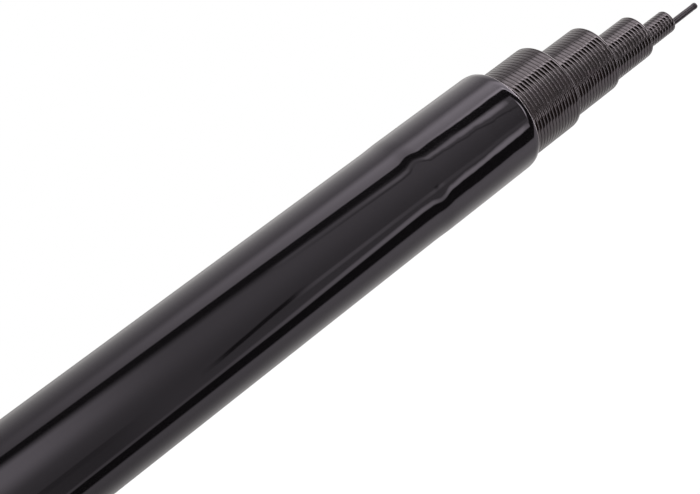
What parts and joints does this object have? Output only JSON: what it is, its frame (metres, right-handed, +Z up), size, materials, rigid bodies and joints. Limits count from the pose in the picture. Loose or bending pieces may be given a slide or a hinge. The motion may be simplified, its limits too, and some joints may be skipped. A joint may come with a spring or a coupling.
{
  "type": "telescopic pole fishing rod",
  "caption": "Collapsed telescopic pole rod: a glossy lacquered butt tube with tape-wound sections nested in it, a thin solid tip and a screw cap at the butt.",
  "frame": {"origin": "centre of the rubber bumper's outer face at the butt, where the rod stands when it is put on end", "axes": "+X along the rod towards its tip, +Z up as the rod lies closed, +Y to its left"},
  "size_m": [1.1038, 0.0306, 0.0306],
  "materials": {
    "lacquer": "black lacquer over a wound carbon tube, polished to a mirror gloss",
    "wound_carbon": "dark charcoal tape-wound carbon composite, with the tape's fine ridges under a thin clear coat",
    "solid_carbon": "solid drawn carbon composite, ground smooth, semi-gloss",
    "anodised": "turned aluminium, black anodised, satin",
    "rubber": "black moulded rubber, matte"
  },
  "bodies": {
    "butt": {"butt_tube": "lacquer", "butt_ferrule": "anodised"},
    "section_2": {"section_2": "wound_carbon"},
    "section_3": {"section_3": "wound_carbon"},
    "section_4": {"section_4": "wound_carbon"},
    "section_5": {"section_5": "wound_carbon"},
    "tip": {"tip_section": "solid_carbon"},
    "seal": {"cap_seal": "rubber"},
    "cap": {"butt_cap": "anodised", "butt_bumper": "rubber", "cap_cushion": "rubber"}
  },
  "joints": [
    {"name": "section_2_slide", "type": "slide", "parent": "butt", "child": "section_2", "axis": [1, 0, 0.0006], "range_m": [0, 0.9285]},
    {"name": "section_3_slide", "type": "slide", "parent": "section_2", "child": "section_3", "axis": [1, 0, 0.0004], "range_m": [0, 0.9549]},
    {"name": "section_4_slide", "type": "slide", "parent": "section_3", "child": "section_4", "axis": [1, 0, 0.0003], "range_m": [0, 0.9812]},
    {"name": "section_5_slide", "type": "slide", "parent": "section_4", "child": "section_5", "axis": [1, 0, -0.0003], "range_m": [0, 1.0059]},
    {"name": "tip_slide", "type": "slide", "parent": "section_5", "child": "tip", "axis": [1, 0, -0.0007], "range_m": [0, 1.0267]},
    {"name": "cap_lift", "type": "slide", "parent": "butt", "child": "seal", "axis": [-1, 0, 0], "range_m": [0, 0.012]},
    {"name": "cap_turn", "type": "hinge", "parent": "seal", "child": "cap", "pos_m": [0.005, 0, 0], "axis": [-1, 0, 0], "range_deg": [0, 2880]}
  ],
  "couplings": [
    {"joint": "cap_lift", "follows": "cap_turn", "m_per_rad": 0.00023873}
  ]
}
